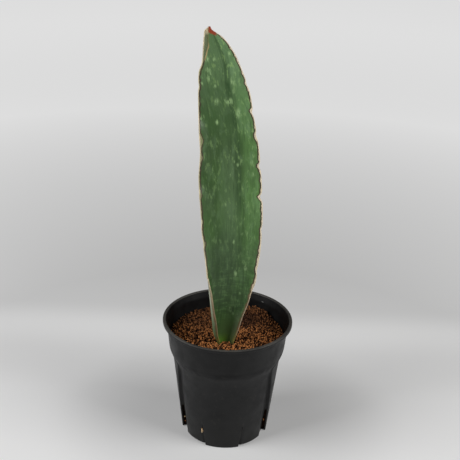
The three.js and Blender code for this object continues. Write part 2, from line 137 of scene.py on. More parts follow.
# Leaf. Each curve is a few (height, value) points, and a smooth line runs through them.
LEAF_FOOT = 74.0
LEAF_SOIL_LINE = 109.0
LEAF_TIP = 424.0
LEFT_EDGE = [
    (74, -5), (84, -7), (109, -9.1), (121, -13.0), (139, -15.2), (169, -18.6), (201, -23.2),
    (232, -27.4), (263, -29.5), (284, -31.2), (304, -30.2), (322, -30.7), (343, -32.4),
    (383, -33.0), (391, -30.5), (405, -29.3), (418, -28.8), (421, -28.2), (424, -24.6),
]
RIGHT_EDGE = [
    (74, 3), (84, 4.4), (109, 6.4), (121, 9.7), (139, 14.6), (152, 18.9), (168, 22.7),
    (177, 26.0), (195, 27.6), (215, 29.4), (245, 30.1), (284, 27.5), (314, 24.0), (342, 18.6),
    (367, 13.4), (394, 2.8), (405, -3.7), (415.5, -12.5), (421, -21.6), (424, -23.3),
]
MIDRIB = [
    (74, -1), (109, -0.6), (150, 2.6), (200, 4.2), (260, 3.4), (315, 0.2), (340, -3.4),
    (366, -8.8), (394, -12.6), (424, -24.2),
]
LEAN = [(74, -17.5), (109, -16), (200, -13.5), (300, -10), (424, -7)]
MIDRIB_THICKNESS = [
    (74, 3.4), (82, 4.4), (109, 4.8), (200, 4.4), (320, 3.6), (400, 2.6), (424, 1.4),
]
MARGIN_THICKNESS = 1.3
LEFT_CURL = [(74, 72), (109, 72), (150, 60), (180, 46), (225, 34), (280, 27), (424, 20)]
RIGHT_CURL = [(74, 70), (109, 68), (150, 46), (180, 35), (225, 29), (280, 25), (424, 18)]
LEFT_ROLLS = [(126, 36, 96), (172, 20, 54), (266, 8, 26), (300, 7, 20), (326, 12, 44), (408, 12, 48)]
RIGHT_ROLLS = [(176, 9, -30), (296, 7, -22)]
ROLL_START = 0.6
LEFT_NOTCHES = [(219, 4, 0.6), (240, 4, 0.5), (371, 3, 0.7)]
RIGHT_NOTCHES = [
    (190, 4, 0.6), (232, 4, 0.8), (266, 3.2, 2.2), (296, 4, 1.5),
    (325, 4, 1.2), (347.5, 3, 1.2), (373, 3.5, 0.9),
]
LEFT_WAVE = {"length": 52, "size": 1.3, "start": 0.8}
RIGHT_WAVE = {"length": 44, "size": 1.5, "start": 2.6}
WAVE_RISE = 60.0
WAVE_FADE = 30.0
LEAF_RING_STEP = 1.0
LEAF_STEPS_PER_HALF = 36
LEAF_FINE_STEPS = 6
RIM_ANGLES = (60, 30, 0, -30, -60)


def place_camera():
    """The camera, with a basis worked out from its pitch, yaw and roll."""
    pitch, yaw, roll = (math.radians(a) for a in (CAMERA_PITCH, CAMERA_YAW, CAMERA_ROLL))
    ahead = Vector((
        math.sin(yaw) * math.cos(pitch), math.cos(yaw) * math.cos(pitch), -math.sin(pitch),
    ))
    level = Vector((math.cos(yaw), -math.sin(yaw), 0))
    above = level.cross(ahead)
    right = math.cos(roll) * level + math.sin(roll) * above
    up = -math.sin(roll) * level + math.cos(roll) * above
    data = bpy.data.cameras.new("camera")
    data.lens = CAMERA_LENS
    data.sensor_width = CAMERA_SENSOR
    data.clip_start = 0.05
    camera = bpy.data.objects.new("camera", data)
    turn = Matrix((right, up, -ahead)).transposed().to_4x4()
    camera.matrix_world = Matrix.Translation(Vector(CAMERA_PLACE) * MM) @ turn
    bpy.context.collection.objects.link(camera)
    bpy.context.scene.camera = camera


def along(points, height):
    """Smooth value at a height, on a curve through (height, value) points."""
    last = len(points) - 1
    if height <= points[0][0]:
        return points[0][1]
    if height >= points[last][0]:
        return points[last][1]
    k = 0
    while height > points[k + 1][0]:
        k += 1

    def slope(i):
        before = points[max(i - 1, 0)]
        after = points[min(i + 1, last)]
        return (after[1] - before[1]) / (after[0] - before[0])

    span = points[k + 1][0] - points[k][0]
    t = (height - points[k][0]) / span
    start = points[k][1] * (2 * t**3 - 3 * t**2 + 1)
    leaving = slope(k) * span * (t**3 - 2 * t**2 + t)
    end = points[k + 1][1] * (3 * t**2 - 2 * t**3)
    arriving = slope(k + 1) * span * (t**3 - t**2)
    return start + leaving + end + arriving


def lerp(a, b, t):
    return a + (b - a) * t


def smooth_step(low, high, value):
    t = np.clip((value - low) / (high - low), 0, 1)
    return t * t * (3 - 2 * t)


def linear(*display):
    """A colour's linear values from its display values, 0 to 255."""
    return tuple(((c / 255 + 0.055) / 1.055) ** 2.4 if c > 10 else c / 255 / 12.92 for c in display)


def new_object(name, vertices, faces, sharp_angle=None):
    """A mesh object from points in millimetres, smooth except along edges sharper than the angle."""
    mesh = bpy.data.meshes.new(name)
    mesh.from_pydata((np.asarray(vertices, float) * MM).tolist(), [], faces)
    mesh.validate()
    mesh.shade_smooth()
    if sharp_angle is not None:
        mesh.set_sharp_from_angle(angle=math.radians(sharp_angle))
    made = bpy.data.objects.new(name, mesh)
    bpy.context.collection.objects.link(made)
    return made


def keep_values(made, name, values):
    """A value for each point of a mesh, for its material to read."""
    attribute = made.data.attributes.new(name, "FLOAT", "POINT")
    attribute.data.foreach_set("value", np.asarray(values, np.float32))


def ring_faces(rings, count):
    """Faces between closed rings of points, each ring above the one before."""
    faces = []
    for ring in range(rings - 1):
        low = ring * count
        high = low + count
        for j in range(count):
            n = (j + 1) % count
            faces.append((low + j, low + n, high + n, high + j))
    return faces


class Look:
    """A material's nodes. Each call adds one node and gives back its output socket."""

    def __init__(self, name, constants):
        self.material = bpy.data.materials.new(name)
        self.material.use_nodes = True
        self.tree = self.material.node_tree
        self.shader = self.tree.nodes["Principled BSDF"]
        for socket, value in constants.items():
            self.shader.inputs[socket].default_value = value

    def add(self, kind, inputs, output=0, **settings):
        node = self.tree.nodes.new(kind)
        for name, value in settings.items():
            setattr(node, name, value)
        for socket, value in inputs.items():
            if isinstance(value, bpy.types.NodeSocket):
                self.tree.links.new(value, node.inputs[socket])
            else:
                node.inputs[socket].default_value = value
        return node.outputs[output]

    def place(self, scale=(1, 1, 1)):
        """Object coordinates in metres, stretched."""
        return self.stretch(self.add("ShaderNodeTexCoord", {}, "Object"), scale)

    def stretch(self, where, scale):
        return self.add("ShaderNodeMapping", {"Vector": where, "Scale": scale})

    def value(self, name):
        return self.add("ShaderNodeAttribute", {}, "Fac", attribute_name=name)

    def noise(self, where, scale, detail=3.0, roughness=0.5, distortion=0.0):
        inputs = {
            "Vector": where, "Scale": scale, "Detail": detail,
            "Roughness": roughness, "Distortion": distortion,
        }
        return self.add("ShaderNodeTexNoise", inputs, "Fac")

    def span(self, value, low, high, to_low=0.0, to_high=1.0, smooth=True):
        """The value mapped from one range to another and kept inside it."""
        inputs = {0: value, 1: low, 2: high, 3: to_low, 4: to_high}
        kind = "SMOOTHSTEP" if smooth else "LINEAR"
        return self.add("ShaderNodeMapRange", inputs, 0, interpolation_type=kind)

    def math(self, operation, a, b=0.0):
        return self.add("ShaderNodeMath", {0: a, 1: b}, operation=operation)

    def times(self, a, b):
        return self.math("MULTIPLY", a, b)

    def axis(self, where, letter):
        return self.add("ShaderNodeSeparateXYZ", {"Vector": where}, letter)

    def mix(self, a, b, share, blend="MIX"):
        """Colour a turning to colour b by a share."""
        colours = {6: a, 7: b}
        for socket, value in colours.items():
            if not isinstance(value, bpy.types.NodeSocket):
                colours[socket] = (*value, 1.0)
        return self.add("ShaderNodeMix", {0: share, **colours}, 2, data_type="RGBA", blend_type=blend)

    def bump(self, height, distance, strength=1.0):
        inputs = {"Height": height, "Distance": distance, "Strength": strength}
        return self.add("ShaderNodeBump", inputs)

    def finish(self, colour, roughness=None, normal=None):
        wired = {"Base Color": colour, "Roughness": roughness, "Normal": normal}
        for socket, value in wired.items():
            if value is not None:
                self.tree.links.new(value, self.shader.inputs[socket])
        return self.material


def dress(made, material, slot, *nodes):
    """The last steps for a piece: its material, hiding the imported parts it stands for, and its body. The
    slot is not used.
    """
    made.data.materials.clear()
    made.data.materials.append(material)
    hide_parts(*nodes)
    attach(made, BODY)


def widening(low, high, top):
    """An angle that grows evenly from the ground up to a height."""
    return lambda z: lerp(low, high, min(max(z / top, 0), 1))


leg_half_angle = widening(LEG_LOW_HALF_ANGLE, LEG_HIGH_HALF_ANGLE, LEG_TOP)
foot_half_angle = widening(FOOT_LOW_HALF_ANGLE, FOOT_HIGH_HALF_ANGLE, FOOT_TOP)
channel_half_angle = widening(CHANNEL_LOW_HALF_ANGLE, CHANNEL_HIGH_HALF_ANGLE, LEG_TOP)


def quarter_lines(z):
    """The wall's upright lines round a quarter at a height, as (form, lean, angle), from the
    middle of a foot to the middle of a leg. The lean keeps the steps as thick as the wall."""
    foot = foot_half_angle(z)
    leg = QUARTER - leg_half_angle(z)
    channel = QUARTER - channel_half_angle(z)
    lines = [("foot", -1 if part == 1 else 0, part * foot) for part in (0, 1 / 3, 2 / 3, 1)]
    lines.append(("groove", -1, foot + STEP_ANGLE))
    lines += [
        ("wall", 0, lerp(foot + GROOVE_ANGLE, channel, part)) for part in (0, 0.25, 0.5, 0.75, 1)
    ]
    lines.append(("channel", 0, lerp(channel, leg - STEP_ANGLE, CHANNEL_FLOOR_SHARE)))
    lines.append(("channel", 1, leg - STEP_ANGLE))
    lines += [("leg", 1 if part == 0 else 0, lerp(leg, QUARTER, part)) for part in (0, 0.5, 1)]
    return lines


def pot_lines(z):
    """All upright lines round the pot at a height. Above the legs they spread out evenly."""
    quarter = quarter_lines(z)
    mirrored = [(form, -lean, 2 * QUARTER - angle) for form, lean, angle in quarter[-2:0:-1]]
    half = quarter + mirrored
    spread = float(smooth_step(LEG_TOP, COLLAR_FOOT_HEIGHT, z))
    lines = []
    for turn in (0, 2 * QUARTER):
        for k, (form, lean, angle) in enumerate(half):
            even = k / len(half) * 2 * QUARTER
            lines.append((form, lean * (1 - spread), turn + lerp(angle, even, spread)))
    return lines


def form_radius(form, z):
    """Radius of one form of the pot's wall at a height."""
    over_foot = min(max(z / FOOT_TOP, 0), 1)
    sink = {
        "leg": 0,
        "foot": WALL_SINK * over_foot,
        "groove": WALL_SINK + GROOVE_DEPTH * (1 - over_foot),
        "wall": WALL_SINK,
        "channel": along(CHANNEL_DEPTH, z),
    }[form]
    fade = 1 - float(smooth_step(*SINK_FADE, z))
    return BASE_RADIUS + BODY_FLARE * z - sink * fade


def rounded_corner(corner, before, after, radius, steps):
    """Points of a corner between two neighbours, rounded off over a distance from it."""
    corner, before, after = (np.array(p, float) for p in (corner, before, after))
    reach = [min(0.45, radius / np.linalg.norm(p - corner)) for p in (before, after)]
    start = lerp(corner, before, reach[0])
    end = lerp(corner, after, reach[1])
    points = []
    for k in range(steps + 1):
        t = k / steps
        points.append(tuple((1 - t) ** 2 * start + 2 * t * (1 - t) * corner + t**2 * end))
    return points


def pot_profile(form, inset):
    """Outer line of the pot from the floor's middle up to the lip as (radius, height), moved
    inwards by an inset."""
    base = 0 if form in ("leg", "foot") else WALL_LIFT
    foot = form_radius(form, base)
    low = (foot - inset, base + inset)
    flank = (form_radius(form, base + BASE_ROUND) - inset, base + BASE_ROUND + inset)
    ring = (RING_INNER_RADIUS, base + inset)
    wall = [(form_radius(form, z) - inset, z) for z in np.linspace(4, SHOULDER_FROM, 30)]
    shoulder_foot = (form_radius(form, SHOULDER_FOOT_HEIGHT) - inset, SHOULDER_FOOT_HEIGHT)
    shoulder = (COLLAR_FOOT_RADIUS - inset, COLLAR_FOOT_HEIGHT)
    collar_top = (COLLAR_TOP_RADIUS - inset, POT_HEIGHT - LIP_HEIGHT)
    collar = [
        (lerp(shoulder[0], collar_top[0], t), lerp(shoulder[1], collar_top[1], t))
        for t in np.linspace(0.22, 0.92, 8)
    ]
    return [
        (0, FLOOR_LIFT + inset),
        (FLOOR_RADIUS * 0.5, FLOOR_LIFT + inset),
        *rounded_corner((FLOOR_RADIUS, FLOOR_LIFT + inset), (0, FLOOR_LIFT + inset), ring, 0.8, 3),
        *rounded_corner(ring, (FLOOR_RADIUS, FLOOR_LIFT + inset), low, 0.8, 3),
        *rounded_corner(low, ring, flank, BASE_ROUND, 4),
        *wall,
        *rounded_corner(shoulder_foot, wall[-1], shoulder, SHOULDER_ROUND, 5),
        *rounded_corner(shoulder, shoulder_foot, collar_top, SHOULDER_ROUND, 6),
        *collar,
        collar_top,
    ]


def lip_profile():
    """The lip, from under its outer edge over the top to its inner edge, as (radius, height)."""
    under = POT_HEIGHT - LIP_HEIGHT
    inner = LIP_RADIUS - LIP_TOP_WIDTH
    outer_low = (LIP_RADIUS, under)
    outer_high = (LIP_RADIUS, POT_HEIGHT)
    inner_high = (inner, POT_HEIGHT)
    return [
        *rounded_corner(outer_low, (COLLAR_TOP_RADIUS, under), outer_high, LIP_ROUND * 0.8, 4),
        *rounded_corner(outer_high, outer_low, inner_high, LIP_ROUND, 6),
        *rounded_corner(inner_high, outer_high, (inner, under), LIP_ROUND, 5),
    ]


def refined_loop(angles, radii, heights, extras):
    """A row of the wall with its corners rounded and points added between them."""
    turn = np.array([angles, radii, heights])
    ahead = np.roll(turn, -1, axis=1)
    behind = np.roll(turn, 1, axis=1)
    ahead[0, -1] += 360
    behind[0, 0] -= 360

    def towards(other):
        across = np.radians(other[0] - turn[0]) * turn[1]
        length = np.hypot(across, other[1] - turn[1]) + 1e-6
        return turn + (other - turn) * np.minimum(0.4, STEP_ROUND / length)

    before = towards(behind)
    after = towards(ahead)
    corner = 0.25 * before + 0.5 * turn + 0.25 * after
    next_before = np.roll(before, -1, axis=1)
    next_before[0, -1] += 360
    columns = [before, corner, after]
    for k in range(1, extras + 1):
        columns.append(lerp(after, next_before, k / (extras + 1)))
    return np.stack(columns, axis=2).reshape(3, -1)


def turned(name, line_at, insets, extras, sharp_angle=None):
    """A closed object from one line per form, and the inset of each row of that line."""
    forms = {form: line_at(form) for form in ("leg", "foot", "groove", "wall", "channel")}
    rows = len(insets)
    vertices = []
    for row in range(1, rows - 1):
        height = forms["leg"][row][1]
        lines = pot_lines(height)
        radii = np.array([forms[form][row][0] for form, _, _ in lines])
        heights = [forms[form][row][1] for form, _, _ in lines]
        leans = np.array([lean for _, lean, _ in lines]) * insets[row] / radii
        angles = np.array([angle for _, _, angle in lines]) + np.degrees(leans)
        loop = refined_loop(angles, radii, heights, extras)
        turn = np.radians(loop[0] + LEGS_TURN)
        vertices.append(np.stack([loop[1] * np.sin(turn), -loop[1] * np.cos(turn), loop[2]], axis=1))
    count = len(vertices[0])
    points = np.concatenate(vertices)
    faces = ring_faces(rows - 2, count)
    first = len(points)
    last = first + 1
    ends = [(0, 0, forms["leg"][0][1]), (0, 0, forms["leg"][-1][1])]
    points = np.concatenate([points, ends])
    top = (rows - 3) * count
    for j in range(count):
        n = (j + 1) % count
        faces.append((first, n, j))
        faces.append((last, top + j, top + n))
    return new_object(name, points, faces, sharp_angle)


def slit_block(slit, middle, side, half_angle, inner_at, outer_at):
    """The block that cuts one drain slit, following the edge of a leg or foot."""
    maker = bmesh.new()
    bmesh.ops.create_cube(maker, size=1)
    upright = [e for e in maker.edges if abs(e.verts[0].co.z - e.verts[1].co.z) > 0.5]
    bmesh.ops.subdivide_edges(maker, edges=upright, cuts=SLIT_SPANS - 1, use_grid_fill=True)
    for vertex in maker.verts:
        up = vertex.co.z + 0.5
        across = side * vertex.co.x + 0.5
        inwards = vertex.co.y + 0.5
        z = lerp(SLIT_FROM, slit["top"], up)
        into = half_angle(z) - lerp(*slit["into"], up)
        beyond = half_angle(z) + lerp(*slit["beyond"], up)
        turn = math.radians(middle + side * lerp(into, beyond, across) + LEGS_TURN)
        radius = lerp(outer_at(z), inner_at(z), inwards)
        vertex.co = Vector((radius * math.sin(turn), -radius * math.cos(turn), z)) * MM
    mesh = bpy.data.meshes.new("slit_block")
    maker.to_mesh(mesh)
    maker.free()
    return mesh


def cut_slits(pot):
    """The eight drain slits, cut out of the pot in one go."""
    under_leg_skin = lambda z: form_radius("leg", z) - WALL
    outside = lambda z: form_radius("leg", z) + CUT_MARGIN
    inner = {
        form: (lambda z, form=form: form_radius(form, z) - WALL - CUT_MARGIN)
        for form in ("channel", "groove")
    }
    blocks = bpy.data.collections.new("slit_blocks")
    for turn in (0, 2 * QUARTER):
        for side in (-1, 1):
            shapes = [
                slit_block(
                    LEG_SLIT, turn + QUARTER, side, leg_half_angle, inner["channel"], under_leg_skin
                ),
                slit_block(FOOT_SLIT, turn, side, foot_half_angle, inner["groove"], outside),
            ]
            for mesh in shapes:
                blocks.objects.link(bpy.data.objects.new("slit_block", mesh))
    cut = pot.modifiers.new("slits", "BOOLEAN")
    cut.operation = "DIFFERENCE"
    cut.operand_type = "COLLECTION"
    cut.collection = blocks
    cut.solver = "MANIFOLD"
    plain_mesh(pot)
    for block in list(blocks.objects):
        bpy.data.objects.remove(block)
    bpy.data.collections.remove(blocks)


def plain_mesh(made):
    """The object's evaluated mesh in place of its modifiers."""
    seen = made.evaluated_get(bpy.context.evaluated_depsgraph_get())
    mesh = bpy.data.meshes.new_from_object(seen)
    made.modifiers.clear()
    made.data = mesh
    mesh.name = made.name


def make_pot():
    """The pot, with its rounded steps, lip and slits."""
    outer = pot_profile("leg", 0)
    inner = pot_profile("leg", WALL)
    lip = lip_profile()
    insets = [0] * (len(outer) + len(lip)) + [WALL] * (len(inner) - 1)

    def line(form):
        inside = pot_profile(form, WALL)[:-1]
        return [*pot_profile(form, 0), *lip, *reversed(inside)]

    pot = turned("pot_shell", line, insets, extras=3)
    cut_slits(pot)
    pot.data.shade_smooth()
    pot.data.set_sharp_from_angle(angle=math.radians(38))
    dress(pot, pot_look(), "pot", "pot")


def pot_look():
    """Charcoal plastic: satin, with a fine moulded grain and dust, lighter towards the bottom, a collar
    darkened as painted shade under the lip, and a pale line on the lip that is partly wear and partly
    painted highlight.
    """
    look = Look("moulded_plastic", {"Specular IOR Level": 0.26})
    where = look.place()
    grain = look.noise(where, 1500, 2)
    cloud = look.noise(where, 28, 4)
    drag = look.noise(look.place((60, 60, 900)), 1, 3)
    colour = look.mix((0.0046, 0.0048, 0.0050), (0.0082, 0.0084, 0.0087), look.span(cloud, 0.35, 0.7))
    dust = look.times(look.span(look.noise(where, 240, 5), 0.55, 0.75), 0.22)
    colour = look.mix(colour, (0.040, 0.034, 0.028), dust)
    height = look.axis(where, "Z")
    # Lighter towards the bottom.
    colour = look.mix(colour, (0.017, 0.017, 0.016), look.span(height, 0.0, 0.05, 0.55, 0.0))
    # The collar between the shoulder and the lip is darkened: painted shade under the lip.
    below_lip = look.span(height, 0.1205, 0.1235, 1.0, 0.0)
    collar = look.times(look.span(height, 0.090, 0.098), below_lip)
    colour = look.mix(colour, (0.0018, 0.0019, 0.0020), look.times(collar, 0.5))
    # A pale line along the top of the lip: partly wear, partly a painted highlight.
    lip_wear_and_highlight = look.times(look.span(height, 0.1250, 0.1259), look.span(cloud, 0.3, 0.6, 0.5, 1.0))
    colour = look.mix(colour, (0.078, 0.074, 0.067), lip_wear_and_highlight)
    rough = look.span(look.noise(where, 90, 4), 0.3, 0.7, 0.38, 0.54)
    below_collar = look.span(height, 0.092, 0.098, 1.0, 0.0)
    shoulder = look.times(look.span(height, 0.084, 0.090), below_collar)
    gloss = look.span(shoulder, 0.0, 1.0, 0.26, 0.13, smooth=False)
    look.tree.links.new(gloss, look.shader.inputs["Specular IOR Level"])
    relief = look.math("ADD", look.times(grain, 0.6), look.times(drag, 0.4))
    return look.finish(colour, rough, look.bump(relief, 0.00012, 0.5))


def soil_height(x, y):
    """Height of the granules' surface, before the single grains."""
    height = SOIL_LEVEL
    for mound in MOUNDS:
        away = math.hypot(x - mound["x"], y - mound["y"]) / mound["reach"]
        height += mound["rise"] * math.exp(-away * away)
    return height


def make_bed():
    """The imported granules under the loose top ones: one solid that fills the pot."""
    inset = WALL + CLEARANCE
    top_rings = np.linspace(1, 0, 26)
    level = SOIL_LEVEL - BED_BELOW_GRAINS

    def line(form):
        outer = [p for p in pot_profile(form, inset) if p[1] < level]
        edge = lerp(COLLAR_FOOT_RADIUS, COLLAR_TOP_RADIUS, 0.4) - inset
        return outer + [(max(edge * share, 0.01), level) for share in top_rings]

    insets = [inset] * len(line("leg"))
    bed = turned("clay_bed", line, insets, extras=1)
    for vertex in bed.data.vertices:
        if vertex.co.z > (level - 0.5) * MM:
            x, y, _ = vertex.co / MM
            vertex.co.z = (soil_height(x, y) - BED_BELOW_GRAINS) * MM
    dress(bed, packed_clay_look(), "substrate", "substrate")


def packed_clay_look():
    """The clay under the loose grains: darker than they are, as painted shade in the gaps between them, and
    darker still low down, as painted shade behind the drain slits.
    """
    look = Look("packed_clay", {"Specular IOR Level": 0.1, "Roughness": 0.95})
    where = look.place()
    clod = look.noise(where, 420, 4, 0.6)
    # Dark tones: painted shade in the gaps between the loose grains.
    colour = look.mix(linear(36, 23, 14), linear(78, 46, 27), look.span(clod, 0.4, 0.65))
    height = look.axis(where, "Z")
    # Near black towards the bottom: painted shade inside the pot, seen through the drain slits.
    painted_shade_low = look.span(height, 0.05, 0.10, 0.6, 0.0)
    colour = look.mix(colour, linear(9, 7, 6), painted_shade_low)
    return look.finish(colour, normal=look.bump(clod, 0.0008, 0.8))


# Darkened spots of the granules, as (place, reach) in metres: behind the leaf, partly damp and partly the
# leaf's painted shadow, and in a small hollow at the front right, painted shade.
DAMP_AND_SHADE_SPOTS = [((0.018, 0.026, 0.110), 0.019), ((0.036, -0.026, 0.106), 0.006)]


def clay_look():
    """Matt baked clay: each granule has its own tone and damp ones are darker; painted shade darkens the
    back and a few spots, and painted light brightens the right.
    """
    look = Look("baked_clay", {"Specular IOR Level": 0.25})
    where = look.place()
    tone = look.value("tone")
    speckle = look.noise(where, 1400, 4, 0.65)
    damp = look.span(look.noise(where, 34, 2), 0.35, 0.6, 0.6, 1.0)
    x, y = [look.axis(where, letter) for letter in "XY"]
    light = look.times(look.span(tone, 0.1, 0.85), damp)
    # Darker towards the back: painted shadow of the pot's wall and lip.
    light = look.times(light, look.span(y, -0.005, 0.03, 1.0, 0.33))
    # Lighter on the right: painted light.
    light = look.times(light, look.span(x, 0.015, 0.045, 1.0, 1.25))
    # Darker in the listed spots: painted shade, and damp behind the leaf.
    for spot, reach in DAMP_AND_SHADE_SPOTS:
        away = look.add("ShaderNodeVectorMath", {0: where, 1: spot}, "Value", operation="DISTANCE")
        light = look.times(light, look.span(away, 0.3 * reach, reach, 0.2, 1.0))
    colour = look.mix(linear(48, 27, 15), linear(210, 138, 80), light)
    colour = look.mix(colour, linear(42, 23, 13), look.span(speckle, 0.48, 0.66, 0.0, 0.7))
    pale = look.times(look.span(look.noise(where, 700, 2), 0.62, 0.75, 0.0, 0.5), light)
    colour = look.mix(colour, linear(190, 128, 74), pale)
    rough = look.span(speckle, 0.3, 0.7, 0.82, 0.96)
    return look.finish(colour, rough, look.bump(speckle, 0.0004, 0.8))


def grain_shape(seed):
    """One angular granule of about unit radius: a hull round a few points."""
    draw = random.Random(seed)
    maker = bmesh.new()
    squash = Vector((1.0, draw.uniform(0.78, 0.95), draw.uniform(0.66, 0.85)))
    for _ in range(GRAIN_FACES_FROM):
        point = Vector([draw.gauss(0, 1) for _ in range(3)]).normalized()
        maker.verts.new(point * squash * draw.uniform(0.88, 1.0))
    hull = bmesh.ops.convex_hull(maker, input=maker.verts)
    loose = [v for v in hull["geom_unused"] + hull["geom_interior"] if isinstance(v, bmesh.types.BMVert)]
    bmesh.ops.delete(maker, geom=list(set(loose)), context="VERTS")
    bmesh.ops.recalc_face_normals(maker, faces=maker.faces)
    mesh = bpy.data.meshes.new("grain_shape")
    maker.to_mesh(mesh)
    maker.free()
    return bpy.data.objects.new("grain_shape", mesh)


def grain_tree():
    """Nodes that lay grains over a surface: two layers, the lower one filling the gaps."""
    tree = bpy.data.node_groups.new("grains_over_surface", "GeometryNodeTree")
    face = tree.interface
    inputs = {
        "Surface": "NodeSocketGeometry", "Shapes": "NodeSocketCollection",
        "Spacing": "NodeSocketFloat", "Size": "NodeSocketFloat", "Size spread": "NodeSocketFloat",
        "Lower layer": "NodeSocketFloat", "Seed": "NodeSocketInt", "Clay": "NodeSocketMaterial",
    }
    for name, kind in inputs.items():
        face.new_socket(name, in_out="INPUT", socket_type=kind)
    face.new_socket("Grains", in_out="OUTPUT", socket_type="NodeSocketGeometry")
    link = tree.links.new

    def add(kind, wires, **settings):
        node = tree.nodes.new(kind)
        for name, value in settings.items():
            setattr(node, name, value)
        for socket, value in wires.items():
            if isinstance(value, bpy.types.NodeSocket):
                link(value, node.inputs[socket])
            else:
                node.inputs[socket].default_value = value
        return node

    given = add("NodeGroupInput", {}).outputs
    shapes = add(
        "GeometryNodeCollectionInfo",
        {"Collection": given["Shapes"], "Separate Children": True, "Reset Children": True},
    )
    layers = add("GeometryNodeJoinGeometry", {})
    for layer in (0, 1):
        seed = add("ShaderNodeMath", {0: given["Seed"], 1: 100.0 * layer}, operation="ADD").outputs[0]
        spots = add(
            "GeometryNodeDistributePointsOnFaces",
            {
                "Mesh": given["Surface"], "Distance Min": given["Spacing"],
                "Density Max": 4.0e5, "Density Factor": 1.0, "Seed": seed,
            },
            distribute_method="POISSON",
        )
        lift = add("FunctionNodeRandomValue", {2: -0.0005, 3: 0.0006, "Seed": seed}).outputs[1]
        drop = add("ShaderNodeMath", {0: given["Lower layer"], 1: -float(layer)}, operation="MULTIPLY")
        height = add("ShaderNodeMath", {0: lift, 1: drop.outputs[0]}, operation="ADD")
        offset = add("ShaderNodeCombineXYZ", {"Z": height.outputs[0]})
        moved = add(
            "GeometryNodeSetPosition",
            {"Geometry": spots.outputs["Points"], "Offset": offset.outputs[0]},
        )
        turn = add(
            "FunctionNodeRandomValue",
            {0: (0.0, 0.0, 0.0), 1: (math.tau, math.tau, math.tau), "Seed": seed},
            data_type="FLOAT_VECTOR",
        )
        low = add("ShaderNodeMath", {0: 1.0, 1: given["Size spread"]}, operation="SUBTRACT")
        high = add("ShaderNodeMath", {0: 1.0, 1: given["Size spread"]}, operation="ADD")
        swell = add(
            "FunctionNodeRandomValue", {2: low.outputs[0], 3: high.outputs[0], "Seed": seed}
        )
        size = add("ShaderNodeMath", {0: given["Size"], 1: swell.outputs[1]}, operation="MULTIPLY")
        pick = add("FunctionNodeRandomValue", {4: 0, 5: GRAIN_SHAPES - 1, "Seed": seed}, data_type="INT")
        grains = add(
            "GeometryNodeInstanceOnPoints",
            {
                "Points": moved.outputs[0], "Instance": shapes.outputs[0], "Pick Instance": True,
                "Instance Index": pick.outputs[2], "Rotation": turn.outputs[0],
                "Scale": size.outputs[0],
            },
        )
        tone = add("FunctionNodeRandomValue", {"Seed": seed}).outputs[1]
        toned = add(
            "GeometryNodeStoreNamedAttribute",
            {"Geometry": grains.outputs[0], "Name": "tone", "Value": tone},
            domain="INSTANCE",
        )
        link(toned.outputs[0], layers.inputs[0])
    real = add("GeometryNodeRealizeInstances", {"Geometry": layers.outputs[0]})
    clad = add("GeometryNodeSetMaterial", {"Geometry": real.outputs[0], "Material": given["Clay"]})
    add("NodeGroupOutput", {"Grains": clad.outputs[0]})
    return tree


def grain_field():
    """The surface that the loose grains lie on, open where the leaf stands."""
    cell = 1.0
    edge = lerp(COLLAR_FOOT_RADIUS, COLLAR_TOP_RADIUS, 0.5) - WALL - 0.8 * GRAIN_SIZE
    half = int(edge / cell) + 1
    foot = leaf_ring(SOIL_LEVEL)[0][:, :2]
    vertices = []
    number = {}
    faces = []
    for row in range(-half, half + 1):
        for column in range(-half, half + 1):
            x, y = column * cell, row * cell
            if math.hypot(x, y) > edge:
                continue
            near = np.hypot(foot[:, 0] - x, foot[:, 1] - y).min()
            if near < 0.7:
                continue
            number[row, column] = len(vertices)
            vertices.append((x, y, soil_height(x, y) + GRAIN_LIFT))
    for row, column in number:
        corners = [(row, column), (row, column + 1), (row + 1, column + 1), (row + 1, column)]
        if all(corner in number for corner in corners):
            faces.append(tuple(number[corner] for corner in corners))
    return new_object("granules", vertices, faces)


def make_granules():
    """The loose granules on top, laid by a tree of geometry nodes."""
    granules = grain_field()
    shapes = bpy.data.collections.new("grain_shapes")
    for seed in range(GRAIN_SHAPES):
        shapes.objects.link(grain_shape(seed))
    tree = grain_tree()
    laid = granules.modifiers.new("grains", "NODES")
    laid.node_group = tree
    clay = clay_look()
    wanted = {
        "Shapes": shapes, "Spacing": GRAIN_SPACING * MM, "Size": GRAIN_SIZE * MM,
        "Size spread": 0.32, "Lower layer": 1.3 * MM, "Seed": GRAIN_SEED, "Clay": clay,
    }
    for socket in tree.interface.items_tree:
        if socket.name in wanted:
            laid[socket.identifier] = wanted[socket.name]
    plain_mesh(granules)
    for shape in list(shapes.objects):
        bpy.data.objects.remove(shape)
    bpy.data.collections.remove(shapes)
    granules.data.shade_flat()
    dress(granules, clay, "substrate", "substrate")


# Loose bits as (name, material, angle round the pot, radius, height, half sizes along the wall,
# into it and upwards)
LOOSE_BITS = [
    ("lodged_pebble", "pale_pebble", -30.6, 44.5, 17.0, (2.1, 1.2, 3.8)),
    ("lodged_grain_left", "pale_pebble", -77.4, 42.0, 13.0, (0.9, 1.2, 1.3)),
    ("lodged_grain_low", "baked_clay", -76.2, 41.6, 8.4, (1.2, 1.1, 0.9)),
    ("lodged_grain_right", "baked_clay", 72.0, 42.4, 15.0, (0.9, 1.0, 1.5)),
    ("pale_fleck", "pale_fleck", 142.3, 59.3, 120.3, (2.1, 0.35, 0.9)),
]


